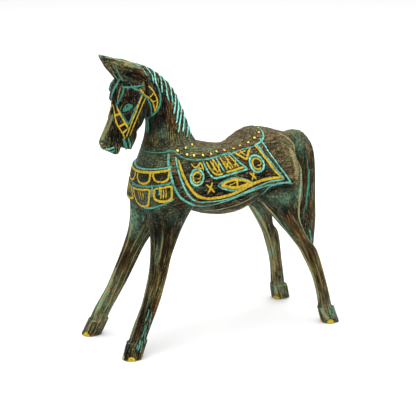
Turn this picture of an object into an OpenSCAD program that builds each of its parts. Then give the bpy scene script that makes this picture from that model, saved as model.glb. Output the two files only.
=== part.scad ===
// Carved and painted wooden horse, standing with its legs splayed.
// The horse faces -X, its left side is -Y and +Z is up. The origin is at floor level,
// under the middle of the horse's box. Seven carved blocks are glued together face to
// face, and a round dowel or two locates each joint.

/* [Horse] */
// Height from the floor to the tips of the ears
horse_h = 300; // [240:5:360]
// Width of the horse, as a multiple of its designed width
width_scale = 1; // [0.9:0.05:1.15]

/* [Joinery] */
// Diameter of the dowels in the neck and the legs
dowel_d = 8; // [6:0.5:8]
// How deep those dowels go into each block
dowel_depth = 16; // [12:1:16]
// Diameter of the dowel in the tail
tail_dowel_d = 5; // [4:0.5:5]
// How deep that dowel goes into each block
tail_dowel_depth = 9; // [6:1:9]
// Gap left round each dowel for glue, on the radius
glue_gap = 0.05; // [0.02:0.01:0.1]

/* [Smoothness] */
// Points around each carved section
section_points = 24; // [16:4:28]
// Slices between two neighbouring sections of a carved form
slices = 3; // [2:1:4]

/* [Hidden] */

// The forms below are designed 300 mm high, about an origin between the hooves
k = horse_h / 300;
box_middle_x = 0.5;
far = 400;

// Joint planes, in design millimetres
neck_joint_z = 203;
neck_joint_back_x = -12;
// The head hangs lower than the neck joint in front of the chest
head_space_back_x = -88;
head_space_low_z = 185;
front_joint_z = 146;
front_shoulder_x = -36;
hind_joint_z = 140;
hind_shoulder_x = 36;
hind_joint_slope = 30;
tail_joint_x = 88;

// Dowel centres on the joint planes, in design millimetres
neck_dowel_front_x = -60;
neck_dowel_rear_x = -42;
front_leg_dowel_x = -62;
front_leg_dowel_y = 17;
hind_leg_dowel_x = 64;
hind_leg_dowel_y = 20;
hind_leg_dowel_z = hind_joint_z + (hind_leg_dowel_x - hind_shoulder_x) * tan(hind_joint_slope);
tail_dowel_z = 188;

wood = [0.2, 0.15, 0.11];
dowel_wood = [0.76, 0.62, 0.42];

// A section of a carved form stands across Y and is given as
// [front x, front z, back x, back z, front y, back y, half width, roundness, widest].
// Roundness 2 is an ellipse, and more is boxier. Widest says where the section is at
// its widest, from 0 at its front point to 1 at its back point. Sections are those of
// the left side, and the forms of the right side mirror them.
barrel_sections = [
    [-74, 150, -74, 196, 0, 0, 24, 2.2, 0.5],
    [-60, 139, -60, 202, 0, 0, 32, 2.3, 0.5],
    [-32, 132, -32, 204, 0, 0, 36, 2.3, 0.45],
    [-12, 125, -12, 199, 0, 0, 37, 2.1, 0.45],
    [6, 122, 6, 194.5, 0, 0, 38, 2.1, 0.45],
    [24, 123.5, 24, 193.5, 0, 0, 38, 2.1, 0.45],
    [44, 132, 44, 205, 0, 0, 37, 2.1, 0.45],
    [62, 142, 62, 206, 0, 0, 35, 2.1, 0.5],
    [78, 152, 78, 201, 0, 0, 27, 2, 0.5],
    [tail_joint_x, 166, tail_joint_x, 198, 0, 0, 14, 2, 0.5]
];
neck_sections = [
    [-72, 128, -46, 128, 0, 0, 20, 2.2, 0.5],
    [-81, 146, -18, 150, 0, 0, 34, 2.3, 0.4],
    [-85, 168, -8, 175, 0, 0, 34, 2.2, 0.4],
    [-80.5, 188, -15, 194, 0, 0, 28, 2.1, 0.4],
    [-76, 205, -25, 209, 0, 0, 21, 2, 0.4],
    [-73.5, 221, -33, 230, 0, 0, 17, 1.9, 0.4],
    [-76, 237, -43, 255, 0, 0, 14.5, 1.8, 0.4],
    [-82, 250, -61, 274.5, 0, 0, 13, 1.8, 0.4],
    [-94, 262, -84, 287, 0, 0, 11, 1.8, 0.4],
    [-104, 264, -98, 287, 0, 0, 8, 1.8, 0.4]
];
head_sections = [
    [-96, 274, -70, 245, 0, 0, 9, 2, 0.5],
    [-108, 270, -76, 234, 0, 0, 12, 2.2, 0.5],
    [-110.5, 256, -82.5, 224, 0, 0, 13.5, 2.3, 0.55],
    [-113, 241, -92, 215.5, 0, 0, 12, 2.3, 0.5],
    [-119.5, 226, -103, 208, 0, 0, 10, 2.3, 0.5],
    [-126.5, 213, -107, 199, 0, 0, 9, 2.4, 0.5],
    [-123.5, 205, -110.5, 198.5, 0, 0, 7.5, 2.6, 0.5]
];
// The lower end of the bridle's cheek strap, where it hangs below the jaw
bit_sections = [
    [-106, 226, -90, 230, 0, 0, 7, 2.4, 0.5],
    [-103.5, 212, -86, 216, 0, 0, 8, 2.6, 0.5],
    [-99, 202, -92, 204.5, 0, 0, 5.5, 2.6, 0.5]
];
ear_sections = [
    [-108, 260, -80, 258, -4, -7, 6, 2, 0.6],
    [-106, 270, -80, 278, -3, -7.5, 6.5, 2, 0.6],
    [-113, 279, -92, 289.5, -2.5, -6, 6, 2, 0.6],
    [-120, 287.5, -108, 294, -2, -4, 4, 2, 0.5],
    [-127, 299, -125, 300, -1, -1, 0.9, 2, 0.5]
];
front_leg_sections = [
    [-74, 182, -32, 182, -12, -12, 12, 2.2, 0.4],
    [-80, 166, -26, 166, -15, -15, 17, 2.2, 0.4],
    [-82, 148, -29, 148, -17, -17, 18, 2.2, 0.4],
    [-81.5, 130, -40.5, 130, -18.5, -18.5, 16.5, 2.2, 0.4],
    [-82, 114, -50.5, 114, -22, -22, 13.5, 2.2, 0.4],
    [-85, 95, -62.5, 95, -27, -27, 11, 2.2, 0.4],
    [-91, 75, -71.5, 75, -32, -32, 9.5, 2.3, 0.5],
    [-100.5, 50, -83, 50, -36.5, -36.5, 8.2, 2.3, 0.5],
    [-113, 28, -95, 28, -40, -40, 8, 2.3, 0.5],
    [-120, 12, -103, 12, -42, -42, 7.8, 2.3, 0.5]
];
front_hoof_sections = [
    [-120, 17, -98.5, 17, -41, -41, 8.8, 2.4, 0.5],
    [-127, 0, -107, 0, -44, -44, 9.2, 2.4, 0.5]
];
hind_leg_sections = [
    [38, 186, 78, 190, -12, -16, 12, 2.2, 0.5],
    [34, 166, 88, 172, -18, -23, 17, 2.2, 0.5],
    [37.5, 150, 91.5, 156, -20, -26, 18, 2.2, 0.5],
    [48, 132, 91, 134, -21, -27, 16, 2.2, 0.5],
    [62.5, 114, 87.5, 117, -23, -27, 13, 2.2, 0.5],
    [75.5, 97, 91.5, 99, -29.5, -30, 11, 2.2, 0.5],
    [81.5, 88, 95.5, 90, -33, -33, 9.8, 2.2, 0.5],
    [88, 77, 104.5, 79, -36, -36, 9, 2.2, 0.5],
    [98.5, 52, 111, 53, -41.5, -41.5, 7.8, 2.3, 0.5],
    [103.5, 30, 116.5, 30, -44.5, -44.5, 7.6, 2.3, 0.5],
    [105, 12, 120, 12, -46, -46, 7.8, 2.3, 0.5]
];
hind_hoof_sections = [
    [103.5, 17, 122, 17, -45.5, -45.5, 8.8, 2.4, 0.5],
    [107.5, 0, 127, 0, -48, -48, 9.2, 2.4, 0.5]
];
tail_sections = [
    [tail_joint_x, 197, tail_joint_x, 180, 0, 0, 8, 2, 0.5],
    [98, 199, 94, 178, 0, 0, 9, 2, 0.5],
    [111, 194.5, 95, 172, 0, 0, 10, 2, 0.5],
    [122.5, 179, 99, 164, 0, 0, 10, 2, 0.5],
    [126, 158, 103, 156, 0, 0, 9.5, 2, 0.5],
    [127, 130, 103, 130, 0, 0, 9, 2, 0.5],
    [128, 100, 108, 100, 0, 0, 7, 2, 0.5],
    [127, 70, 121, 70, 0, 0, 2, 2, 0.5]
];

// A design position at the chosen size
function placed(x, y, z) = [k * (x - box_middle_x), k * width_scale * y, k * z];

// Catmull-Rom curve from b to c
function spline(a, b, c, d, t) =
    0.5 * (2 * b + (c - a) * t + (2 * a - 5 * b + 4 * c - d) * t * t + (3 * b - a - 3 * c + d) * t * t * t);

function clamped(list, i) = list[min(max(i, 0), len(list) - 1)];

// The given sections with smooth ones between them
function sliced(sections) = [
    for (i = [0 : len(sections) - 2])
        for (j = [0 : slices - 1])
            spline(
                clamped(sections, i - 1), sections[i], sections[i + 1], clamped(sections, i + 2), j / slices
            ),
    sections[len(sections) - 1]
];

function signed_power(v, p) = sign(v) * pow(abs(v), p);

// Points round one section
function outline(s) = [
    for (i = [0 : section_points - 1])
        let (
            angle = 360 * i / section_points,
            p = 2 / s[7],
            along = signed_power(-cos(angle), p),
            f = along < 0 ? s[8] * (1 + along) : s[8] + (1 - s[8]) * along,
            across = s[6] * signed_power(sin(angle), p)
        )
        placed(s[0] + (s[2] - s[0]) * f, s[4] + (s[5] - s[4]) * f + across, s[1] + (s[3] - s[1]) * f)
];

// Whether the form runs on to the left of its sections' front-to-back direction
function runs_left(s, t) =
    (s[2] - s[0]) * (t[1] + t[3] - s[1] - s[3]) > (s[3] - s[1]) * (t[0] + t[2] - s[0] - s[2]);

function reversed(list) = [for (i = [len(list) - 1 : -1 : 0]) list[i]];

function mirrored(sections) = [
    for (s = sections) [s[0], s[1], s[2], s[3], -s[4], -s[5], s[6], s[7], s[8]]
];

// side is -1 for the left and 1 for the right
function on_side(sections, side) = side < 0 ? sections : mirrored(sections);

// A closed form through its sections
module carved(sections) {
    cuts = sliced(sections);
    n = section_points;
    count = len(cuts);
    walls = [
        for (i = [0 : count - 2], j = [0 : n - 1])
            let (a = i * n + j, b = i * n + (j + 1) % n)
            each [[a, b, b + n], [a, b + n, a + n]]
    ];
    first = [for (j = [0 : n - 1]) n - 1 - j];
    last = [for (j = [0 : n - 1]) (count - 1) * n + j];
    faces = concat(walls, [first, last]);
    polyhedron(
        [for (s = cuts) each outline(s)],
        runs_left(cuts[0], cuts[1]) ? faces : [for (f = faces) reversed(f)]
    );
}

// Joins carved forms into one skin, before anything round is bored in it
module one_skin() {
    resize([0, 0, 0]) children();
}

module leg_form(side, leg_sections, hoof_sections) {
    carved(on_side(leg_sections, side));
    carved(on_side(hoof_sections, side));
}

module front_leg_form(side) {
    leg_form(side, front_leg_sections, front_hoof_sections);
}

module hind_leg_form(side) {
    leg_form(side, hind_leg_sections, hind_hoof_sections);
}

module body_form() {
    carved(barrel_sections);
    carved(neck_sections);
}

// A side profile in design millimetres, as a slab right across the horse
module slab(profile) {
    rotate([90, 0, 0])
        linear_extrude(2 * far, center = true)
            polygon([for (p = profile) [k * (p[0] - box_middle_x), k * p[1]]]);
}

module neck_space() {
    slab([
        [-far, head_space_low_z], [head_space_back_x, head_space_low_z], [head_space_back_x, neck_joint_z],
        [neck_joint_back_x, neck_joint_z], [neck_joint_back_x, far], [-far, far]
    ]);
}

module front_leg_space() {
    slab([[-far, -far], [front_shoulder_x, -far], [front_shoulder_x, front_joint_z], [-far, front_joint_z]]);
}

module hind_leg_space() {
    rise = (far - hind_shoulder_x) * tan(hind_joint_slope);
    slab([[hind_shoulder_x, -far], [far, -far], [far, hind_joint_z + rise], [hind_shoulder_x, hind_joint_z]]);
}

// Everything on one side of the horse's middle plane
module half_space(side) {
    translate([-far, side < 0 ? -2 * far : 0, -far]) cube(2 * far);
}

// A dowel centred on a joint, along the direction that tilt gives, and its bore
module peg(x, y, z, tilt, diameter, depth) {
    translate(placed(x, y, z))
        rotate([0, tilt, 0])
            cylinder(d = diameter, h = 2 * k * depth, center = true, $fn = 48);
}

module neck_peg(x, d) {
    peg(x, 0, neck_joint_z, 0, d, dowel_depth);
}

module front_leg_peg(side, d) {
    peg(front_leg_dowel_x, side * front_leg_dowel_y, front_joint_z, 0, d, dowel_depth);
}

module hind_leg_peg(side, d) {
    peg(hind_leg_dowel_x, side * hind_leg_dowel_y, hind_leg_dowel_z, -hind_joint_slope, d, dowel_depth);
}

module tail_peg(d) {
    peg(tail_joint_x, 0, tail_dowel_z, 90, d, tail_dowel_depth);
}

bore_d = dowel_d + 2 * glue_gap;
tail_bore_d = tail_dowel_d + 2 * glue_gap;

module torso() {
    color(wood)
        difference() {
            one_skin()
                difference() {
                    union() {
                        body_form();
                        for (side = [-1, 1]) {
                            front_leg_form(side);
                            hind_leg_form(side);
                        }
                    }
                    neck_space();
                    front_leg_space();
                    hind_leg_space();
                }
            for (x = [neck_dowel_front_x, neck_dowel_rear_x]) neck_peg(x, bore_d);
            for (side = [-1, 1]) {
                front_leg_peg(side, bore_d);
                hind_leg_peg(side, bore_d);
            }
            tail_peg(tail_bore_d);
        }
}

module neck_and_head() {
    color(wood)
        difference() {
            one_skin()
                intersection() {
                    union() {
                        body_form();
                        carved(head_sections);
                        carved(bit_sections);
                        for (side = [-1, 1]) carved(on_side(ear_sections, side));
                    }
                    neck_space();
                }
            for (x = [neck_dowel_front_x, neck_dowel_rear_x]) neck_peg(x, bore_d);
        }
}

module front_leg(side) {
    color(wood)
        difference() {
            one_skin()
                intersection() {
                    union() {
                        body_form();
                        front_leg_form(side);
                    }
                    front_leg_space();
                    half_space(side);
                }
            front_leg_peg(side, bore_d);
        }
}

module hind_leg(side) {
    color(wood)
        difference() {
            one_skin()
                intersection() {
                    union() {
                        body_form();
                        hind_leg_form(side);
                    }
                    hind_leg_space();
                    half_space(side);
                }
            hind_leg_peg(side, bore_d);
        }
}

module tail() {
    color(wood)
        difference() {
            carved(tail_sections);
            tail_peg(tail_bore_d);
        }
}

module front_left_leg() { front_leg(-1); }
module front_right_leg() { front_leg(1); }
module hind_left_leg() { hind_leg(-1); }
module hind_right_leg() { hind_leg(1); }

module neck_dowel_front() { color(dowel_wood) neck_peg(neck_dowel_front_x, dowel_d); }
module neck_dowel_rear() { color(dowel_wood) neck_peg(neck_dowel_rear_x, dowel_d); }
module front_left_leg_dowel() { color(dowel_wood) front_leg_peg(-1, dowel_d); }
module front_right_leg_dowel() { color(dowel_wood) front_leg_peg(1, dowel_d); }
module hind_left_leg_dowel() { color(dowel_wood) hind_leg_peg(-1, dowel_d); }
module hind_right_leg_dowel() { color(dowel_wood) hind_leg_peg(1, dowel_d); }
module tail_dowel() { color(dowel_wood) tail_peg(tail_dowel_d); }

torso();
neck_and_head();
front_left_leg();
front_right_leg();
hind_left_leg();
hind_right_leg();
tail();
neck_dowel_front();
neck_dowel_rear();
front_left_leg_dowel();
front_right_leg_dowel();
hind_left_leg_dowel();
hind_right_leg_dowel();
tail_dowel();
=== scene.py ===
import math

import bmesh
import bpy
import numpy as np
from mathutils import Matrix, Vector, kdtree
from mathutils.bvhtree import BVHTree


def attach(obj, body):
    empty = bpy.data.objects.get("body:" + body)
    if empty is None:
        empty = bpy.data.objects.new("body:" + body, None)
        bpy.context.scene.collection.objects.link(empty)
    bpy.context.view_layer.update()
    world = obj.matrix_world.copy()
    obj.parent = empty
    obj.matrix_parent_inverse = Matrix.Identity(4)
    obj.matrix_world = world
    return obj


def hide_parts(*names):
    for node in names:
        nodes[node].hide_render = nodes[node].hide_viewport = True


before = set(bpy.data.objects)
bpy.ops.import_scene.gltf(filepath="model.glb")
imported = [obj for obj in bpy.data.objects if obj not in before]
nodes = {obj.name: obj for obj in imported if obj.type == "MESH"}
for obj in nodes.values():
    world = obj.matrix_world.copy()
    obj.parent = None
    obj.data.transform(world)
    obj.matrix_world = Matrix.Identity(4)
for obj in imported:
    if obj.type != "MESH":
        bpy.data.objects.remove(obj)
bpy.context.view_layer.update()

# A carved and painted wooden horse. The CAD blocks are joined into one skin, which is carved
# with relief, given its paint as distances to brush strokes, and sawn into blocks again.
# Shapes are in millimetres, in the frame's axes, until the pieces are made.
MM = 0.001

DOWELS = [name for name in nodes if "dowel" in name]
GRAIN_STRETCH = 9
VOXEL = 0.7
FAR = 400
# What is stored at each point of the skin for its paint
PAINT_FIELDS = ("grain", "gold", "teal", "bright", "patina", "worn", "dark_ridges_and_hollow_shade", "pale_and_top_lit", "dark")
# A dowel's bore is larger than the dowel by this, on the radius
BORE_GAP = 0.05
# Edges under SHORTEST are taken out of a sawn block, and points within WELD are joined.
# Shells of fewer points than CRUMB are dropped
SHORTEST, WELD, CRUMB = 1e-4, 5e-4, 100

# Joint planes between the blocks
NECK_Z, NECK_BACK_X = 203, -12.5
HEAD_LOW_Z, HEAD_BACK_X = 185, -88.5
FRONT_LEG_Z, SHOULDER_X = 146, -36.5
HIND_LEG_Z, HIP_X, HIND_SLOPE = 140, 35.5, 30
TAIL_X, TAIL_HALF_WIDTH, TAIL_LOW_Z = 87.5, 13, 60

# The chest's ornament goes round an upright axis, at this X
CHEST_AXIS_X = -46


# ---- numbers and curves

def smoothstep(low, high, value):
    t = np.clip((value - low) / (high - low), 0, 1)
    return t * t * (3 - 2 * t)


def noise(points, seed):
    """Smooth random values from 0 to 1, one cell per unit."""
    cell = np.floor(points).astype(np.int64)
    t = points - cell
    t = t * t * (3 - 2 * t)
    total = np.zeros(len(points))
    for corner in np.ndindex(2, 2, 2):
        key = (cell + corner) @ np.array([73856093, 19349663, 83492791]) + seed * 7919
        key = ((key ^ (key >> 13)) * 1274126177) & 0x7FFFFFFF
        key = ((key ^ (key >> 16)) * 668265263) & 0x7FFFFFFF
        weight = np.prod(np.where(corner, t, 1 - t), axis=1)
        total += weight * (key & 0xFFFF) / 0xFFFF
    return total


def curve(points, step=0.8):
    """A smooth curve through points, sampled about every step."""
    p = np.array(points, float)
    if len(p) == 2:
        count = max(2, int(np.linalg.norm(p[1] - p[0]) / step))
        return p[0] + np.linspace(0, 1, count + 1)[:, None] * (p[1] - p[0])
    p = np.vstack([2 * p[0] - p[1], p, 2 * p[-1] - p[-2]])
    parts = []
    for a, b, c, d in zip(p, p[1:], p[2:], p[3:]):
        count = max(2, int(np.linalg.norm(c - b) / step))
        t = np.arange(count)[:, None] / count
        parts.append(
            0.5 * (2 * b + (c - a) * t + (2 * a - 5 * b + 4 * c - d) * t**2
                   + (3 * b - a - 3 * c + d) * t**3)
        )
    return np.vstack(parts + [p[-2:-1]])


def arc(x, z, radius_x, radius_z, start, end, count=13):
    """Points round an ellipse in X and Z, from one angle to another in degrees."""
    turn = np.radians(np.linspace(start, end, count))
    return list(zip(x + radius_x * np.cos(turn), z + radius_z * np.sin(turn)))


def outline_distance(x, z, outline):
    """Distance to a closed outline, negative inside it."""
    best = np.full(len(x), 1e9)
    inside = np.zeros(len(x), bool)
    for (ax, az), (bx, bz) in zip(outline, np.roll(outline, -1, axis=0)):
        dx, dz = bx - ax, bz - az
        t = np.clip(((x - ax) * dx + (z - az) * dz) / (dx * dx + dz * dz + 1e-9), 0, 1)
        best = np.minimum(best, np.hypot(x - ax - t * dx, z - az - t * dz))
        if az != bz:
            crossed = (az > z) != (bz > z)
            inside ^= crossed & (x < ax + (z - az) * dx / dz)
    return np.where(inside, -best, best)


# ---- the skin

def read(items, field, width=3, kind=float):
    """One field of all the items of a mesh, as rows of width numbers."""
    flat = np.empty(len(items) * width, kind)
    items.foreach_get(field, flat)
    return flat.reshape(-1, width)


def positions(mesh):
    return read(mesh.vertices, "co")


def normals(mesh):
    return read(mesh.vertex_normals, "vector")


def add_object(name, mesh):
    made = bpy.data.objects.new(name, mesh)
    bpy.context.scene.collection.objects.link(made)
    return made


def result_of(obj):
    """The object's mesh with its modifiers applied. The object is removed."""
    graph = bpy.context.evaluated_depsgraph_get()
    mesh = bpy.data.meshes.new_from_object(obj.evaluated_get(graph))
    bpy.data.objects.remove(obj)
    return mesh


def tube(path, radii, sides):
    """Points and faces of a closed tapering tube."""
    path = np.array(path, float)
    along = np.gradient(path, axis=0)
    along /= np.linalg.norm(along, axis=1)[:, None]
    across = np.cross(along, (0, 1, 0))
    across /= np.linalg.norm(across, axis=1)[:, None]
    third = np.cross(along, across)
    turn = (np.arange(sides) + 0.5) * 2 * math.pi / sides
    rings = [
        p + r * (np.cos(turn)[:, None] * u + np.sin(turn)[:, None] * v)
        for p, r, u, v in zip(path, radii, across, third)
    ]
    faces = [
        (i * sides + j, i * sides + (j + 1) % sides, (i + 1) * sides + (j + 1) % sides, (i + 1) * sides + j)
        for i in range(len(path) - 1)
        for j in range(sides)
    ]
    faces.append(tuple(range(sides))[::-1])
    faces.append(tuple((len(path) - 1) * sides + j for j in range(sides)))
    return np.vstack(rings), faces


# Square locks of the forelock, from under the ears down the forehead: points, half diagonal
FORELOCKS = [
    ([(-103, 4, 273), (-108, 4.5, 268.5), (-110.5, 5, 264), (-111, 5, 260.5)], 4),
    ([(-103, 0, 273), (-108.5, 0, 266), (-112, 0.5, 258.5), (-113, 1, 252.5)], 4.2),
    ([(-102, -4.5, 270), (-106.5, -5.5, 263), (-108.5, -6, 256), (-109, -6, 251)], 3.6),
]
# The prongs at the lower end of the bridle's cheek strap, on the left side
PRONGS = [
    ([(-103, -5, 215), (-101.5, -5.5, 209), (-99.5, -4.5, 202.5)], 3.2),
    ([(-98, -6, 215), (-96.5, -6.5, 209), (-95.5, -5.5, 202.5)], 3),
]
# Where the carving keeps its edges: a middle and how far they reach
SHARP_PLACES = [((-112, 0, 261), 13), ((-118, 0, 207), 15), ((-97, 0, 208), 12)]


def gathered_blocks():
    """Every CAD node, the forelock and the prongs in one mesh of overlapping solids."""
    solids = [
        (positions(o.data) / MM, [tuple(p.vertices) for p in o.data.polygons]) for o in nodes.values()
    ]
    right_prongs = [([(x, -y, z) for x, y, z in path], thickness) for path, thickness in PRONGS]
    for path, thickness in FORELOCKS + PRONGS + right_prongs:
        line = curve(path, 1.5)
        taper = np.linspace(0, 1, len(line))
        solids.append(tube(line, thickness * (1 - 0.25 * taper), 4))
    return joined_mesh("gathered", solids)


def joined_mesh(name, solids):
    """One mesh of several solids, each given as its points and faces."""
    faces, start = [], 0
    for points, solid_faces in solids:
        faces += [tuple(int(i) + start for i in f) for f in solid_faces]
        start += len(points)
    mesh = bpy.data.meshes.new(name)
    mesh.from_pydata(np.vstack([points for points, _ in solids]).tolist(), [], faces)
    return mesh


def body_weight(p):
    """1 on the barrel, chest and croup, and 0 on the head, the lower legs and the tail."""
    x, z = p[:, 0], p[:, 2]
    return smoothstep(105, 130, z) * (1 - smoothstep(210, 235, z)) * (1 - smoothstep(84, 92, x))


def edge_softness(p):
    """How much each point may be smoothed: 1, but 0 where the carving keeps its edges."""
    softness = np.ones(len(p))
    for middle, reach in SHARP_PLACES:
        softness = np.minimum(softness, smoothstep(reach, reach + 6, np.linalg.norm(p - middle, axis=1)))
    return softness


def smoothed(obj, iterations, weight=None, name=""):
    """Adds a smoothing modifier, over a vertex group of the given weights if there are any."""
    smooth = obj.modifiers.new("smooth", "SMOOTH")
    smooth.factor = 0.5
    smooth.iterations = iterations
    if weight is not None:
        group = obj.vertex_groups.new(name=name)
        weight = np.round(weight, 1)
        for level in np.unique(weight):
            group.add(np.flatnonzero(weight == level).tolist(), float(level), "REPLACE")
        smooth.vertex_group = name


def even_skin():
    """One closed skin of even quads round all the blocks, with their creases blended."""
    whole = add_object("whole", gathered_blocks())
    remesh = whole.modifiers.new("remesh", "REMESH")
    remesh.mode = "VOXEL"
    remesh.voxel_size = VOXEL
    smoothed(whole, 4)
    made = add_object("skin", result_of(whole))
    places = positions(made.data)
    smoothed(made, 10, edge_softness(places), "soft")
    smoothed(made, 60, body_weight(places), "body")
    return result_of(made)


skin = even_skin()
P = positions(skin)
N = normals(skin)
EDGES = read(skin.edges, "vertices", 2, np.int64)
surface = BVHTree.FromPolygons(P.tolist(), [tuple(f.vertices) for f in skin.polygons])
flank_side = np.column_stack([P[:, 0], -np.abs(P[:, 1]), P[:, 2]])


def neighbour_mean(values):
    """The mean of each vertex's neighbours' values."""
    total = np.bincount(EDGES[:, 0], values[EDGES[:, 1]], len(values))
    total += np.bincount(EDGES[:, 1], values[EDGES[:, 0]], len(values))
    return total / np.bincount(EDGES.ravel(), minlength=len(values))


# ---- places on the skin

def on_side(points):
    """(x, z) points, put on the left side of the skin."""
    placed = []
    for x, z in points:
        hit = surface.ray_cast(Vector((x, -FAR, z)), Vector((0, 1, 0)))[0]
        if hit is None or hit.y > 0:
            hit = surface.find_nearest(Vector((x, -2, z)))[0]
        placed.append(tuple(hit))
    return np.array(placed)


def round_about(x, y, z, degrees, reach=100):
    """The skin's outermost place within reach of a middle, at an angle from the front to the left."""
    turn = math.radians(degrees)
    out = Vector((-math.cos(turn), -math.sin(turn), 0))
    return tuple(surface.ray_cast(Vector((x, y, z)) + reach * out, -out)[0])


def on_chest(points):
    """(degrees, z) points, put on the skin round the chest."""
    return np.array([round_about(CHEST_AXIS_X, 0, z, degrees) for degrees, z in points])


def nearest(points):
    """(x, y, z) points, put on the skin at its nearest."""
    return np.array([tuple(surface.find_nearest(Vector(p))[0]) for p in points])


def on_skin(points):
    """A smooth curve on the skin, through (x, z) points of the left side or (x, y, z) points near it."""
    line = curve(points)
    return on_side(line) if line.shape[1] == 2 else nearest(line)


# ---- strokes of paint and relief

CLEAR = 4.0
gold = np.full(len(P), CLEAR)
teal = np.full(len(P), CLEAR)
bright = np.zeros(len(P))
rubbed = np.zeros(len(P))
rusty = np.zeros(len(P))
raised = np.zeros(len(P))
sunken = np.zeros(len(P))
lift = np.zeros(len(P))


def stroke_distance(points, path, half_width):
    """Distance to a stroke's edge, negative inside it, and the points near enough to have one."""
    low, high = path.min(0) - CLEAR - 2, path.max(0) + CLEAR + 2
    near = np.flatnonzero(((points > low) & (points < high)).all(1))
    here = points[near]
    best = np.full(len(near), CLEAR)
    for a, b, wa, wb in zip(path, path[1:], half_width, half_width[1:]):
        close = np.flatnonzero((np.abs(here - (a + b) / 2) < CLEAR + 2).all(1))
        q = here[close]
        ab = b - a
        t = np.clip((q - a) @ ab / (ab @ ab + 1e-9), 0, 1)
        d = np.linalg.norm(q - a - t[:, None] * ab, axis=1) - (wa + t * (wb - wa))
        best[close] = np.minimum(best[close], d)
    return near, best


def stroke(path, width, height, tip=2.0, both_sides=True):
    """Raises a stroke, or sinks it if height is negative. Its ends taper over tip. Returns the points near
    it and how far they are from its edge."""
    steps = np.linalg.norm(np.diff(path, axis=0), axis=1)
    run = np.concatenate([[0], np.cumsum(steps)])
    to_end = np.minimum(run, run[-1] - run)
    half_width = width / 2 * (0.35 + 0.65 * np.sqrt(np.clip(to_end / max(tip, 1e-6), 0, 1)))
    near, d = stroke_distance(flank_side if both_sides else P, path, half_width)
    if height > 0:
        raised[near] = np.maximum(raised[near], height * smoothstep(0.6, -0.4, d))
    if height < 0:
        sunken[near] = np.minimum(sunken[near], height * smoothstep(0.5, -0.6, d))
    return near, d


def teal_line(path, width, tone=0.45, height=-0.6, **options):
    near, d = stroke(path, width, height, **options)
    bright[near] = np.where(d < teal[near], tone, bright[near])
    teal[near] = np.minimum(teal[near], d)


def gold_line(path, width, height=0.45, **options):
    near, d = stroke(path, width, height, **options)
    gold[near] = np.minimum(gold[near], d)


def rubbed_line(path, width, tone, height=0.3, **options):
    near, d = stroke(path, width, height, **options)
    rubbed[near] = np.maximum(rubbed[near], tone * smoothstep(0.6, -0.5, d))


def rust_line(path, width, tone, height, **options):
    near, d = stroke(path, width, height, **options)
    rusty[near] = np.maximum(rusty[near], tone * smoothstep(0.8, -0.5, d))


def draw(line, rows, **options):
    """Draws one kind of line for each row of points, width and whatever numbers come after it."""
    for points, *numbers in rows:
        line(on_skin(points), *numbers, **options)


def panel(distance, height, softness=1.0):
    """Raises what lies inside an outline by height."""
    lift[:] = np.maximum(lift, height * smoothstep(softness, -softness, distance))


def spot(x, y, z, radius, height):
    """A round gold spot where the skin passes a place."""
    d = np.linalg.norm(flank_side - (x, y, z), axis=1) - radius
    gold[:] = np.minimum(gold, d)
    raised[:] = np.maximum(raised, height * np.sqrt(smoothstep(0.4, -radius, d)))


# ---- saddle and blanket

SADDLE_EDGE = [
    (-64, 201), (-57, 200), (-51, 194), (-44, 190.5), (-30, 188.5), (-16, 188), (-4, 188), (8, 187.5),
    (20, 188.5), (29, 190.5), (37, 193), (43, 196), (48, 199), (52, 203), (55, 207),
]
BLANKET_OUTER = [
    (-63, 197), (-65, 188), (-65, 178), (-63, 167), (-58, 156), (-48, 148), (-36, 142), (-24, 140),
    (-9, 142.5), (8, 147), (26, 151), (43, 153), (57, 154.5), (70, 154.5),
]
BLANKET_REAR = [(45, 199), (49.5, 186), (59.5, 171), (70, 154.5)]
RIDGE_LINE = [
    (-60, 194), (-60, 178), (-55, 164), (-44, 151), (-33, 144), (-18, 142.5), (-4, 144), (12, 147.5),
    (28, 151.5), (46, 155.5), (62, 156),
]
INNER_LINE = [
    (-57, 194), (-57, 184), (-55, 172), (-50, 160), (-43, 152), (-34, 147), (-23, 146), (-9, 146),
    (8, 149), (27, 154), (47, 158), (62, 159),
]
INNER_REAR = [(39, 195), (44, 184), (53, 172), (62, 159)]
BORDER = [
    (-55, 191), (-54, 181), (-50, 170), (-44, 161), (-36, 154), (-26, 150.5), (-14, 150), (-2, 151),
    (10, 154), (23, 158), (36, 161), (48, 161.5), (60, 161),
]
BORDER_REAR = [(37, 193), (43, 182), (51, 170), (59, 161)]
# Middles of the rings, and middles and sizes of the crosses
RINGS = [(-38, 173), (33, 177)]
CROSSES = [(-23.5, 161, 1), (26.5, 166.5, 0.75)]
# Gold studs of the saddle, on the left
STUDS = [
    (-43, -22, 201), (-34, -18, 202), (-53, -24, 200), (-44, -26, 195), (-37, -27, 193), (-27, -27, 192),
    (-16, -24, 191), (-7, -20, 191), (4, -18, 191), (17, -15, 191), (26, -14, 192), (34, -17, 195),
    (41, -17, 199), (48, -14, 203), (53, -6, 206),
]


def saddle():
    outline = np.vstack([curve(SADDLE_EDGE), [(54, 240), (-64, 240)]])
    panel(outline_distance(P[:, 0], P[:, 2], outline), 1.2 * smoothstep(-52, -28, P[:, 0]))
    draw(teal_line, [(SADDLE_EDGE, 1.4, 0.55, -0.9), (SADDLE_EDGE[-5:], 1.7, 0.75, -0.7)])


def studs():
    for place in nearest(STUDS):
        spot(*place, 1.4, 0.8)
        bright[:] = np.where(np.linalg.norm(flank_side - place, axis=1) < 2, 1, bright)


def ring_motif(x, z):
    """A turquoise ring round a gold hook."""
    draw(teal_line, [(arc(x, z, 7.1, 7.6, 0, 360, 25), 2.0, 0.8, 0.25)], tip=0)
    draw(gold_line, [
        (arc(x, z, 4.6, 5, 10, 320, 17), 1.9),
        ([(x + 4.5, z + 1), (x + 2.5, z - 1.5), (x - 0.5, z - 0.5)], 1.5),
    ])


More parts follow.
